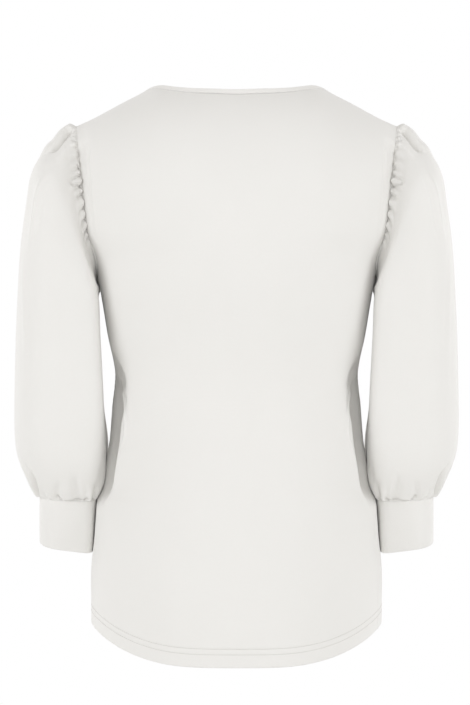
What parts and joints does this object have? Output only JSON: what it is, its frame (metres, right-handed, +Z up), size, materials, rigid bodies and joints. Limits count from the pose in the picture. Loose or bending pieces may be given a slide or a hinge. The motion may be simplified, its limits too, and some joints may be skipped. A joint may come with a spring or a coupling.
{
  "type": "puff-sleeve t-shirt, worn form",
  "caption": "Hollow worn-form jersey top with a wide scooped neck, gathered puff sleeves ending in deep cuffs, a narrow neckband and a curved hem",
  "frame": {"origin": "Where the shoulders carry the top: midway between the two points where the neck edge crosses the shoulder seams.", "axes": "+Z up, +Y the way the wearer faces, +X towards the wearer's right hand side. The back of the top faces -Y."},
  "size_m": [0.4908, 0.2449, 0.6243],
  "materials": {
    "jersey": "matt off-white crepe jersey with a fine even grain",
    "jersey_band": "the same off-white jersey, folded double"
  },
  "bodies": {
    "root": {"back": "jersey", "front": "jersey", "sleeve_left": "jersey", "sleeve_right": "jersey", "cuff_left": "jersey_band", "cuff_right": "jersey_band", "neckband": "jersey_band"}
  },
  "joints": []
}
